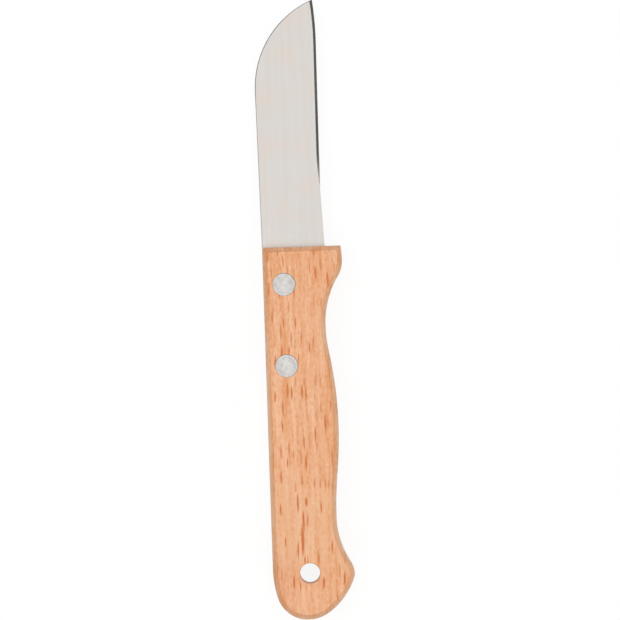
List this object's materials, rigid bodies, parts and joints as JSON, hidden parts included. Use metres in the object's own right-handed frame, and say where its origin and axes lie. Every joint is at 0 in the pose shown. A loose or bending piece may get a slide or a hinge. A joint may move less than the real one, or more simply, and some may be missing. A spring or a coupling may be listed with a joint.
{
  "type": "paring knife",
  "caption": "Short kitchen knife: a steel blade ground on both faces, its half tang riveted into a contoured beech handle with a finger guard, a hooked butt and a hanging hole.",
  "frame": {"origin": "centre of the knife's outline, on the plane of the handle's lower flat side", "axes": "+Y along the knife to the tip, +X from the back to the cutting edge, +Z through the thickness, away from the surface that the knife lies on"},
  "size_m": [0.023, 0.17, 0.012],
  "materials": {
    "beech": "satin varnish",
    "steel": "fine ground, brushed lengthwise",
    "rivet_aluminium": "turned and pressed"
  },
  "bodies": {
    "root": {"handle": "beech", "blade": "steel", "front_rivet_pin": "rivet_aluminium", "front_rivet_socket": "rivet_aluminium", "rear_rivet_pin": "rivet_aluminium", "rear_rivet_socket": "rivet_aluminium"}
  },
  "joints": []
}
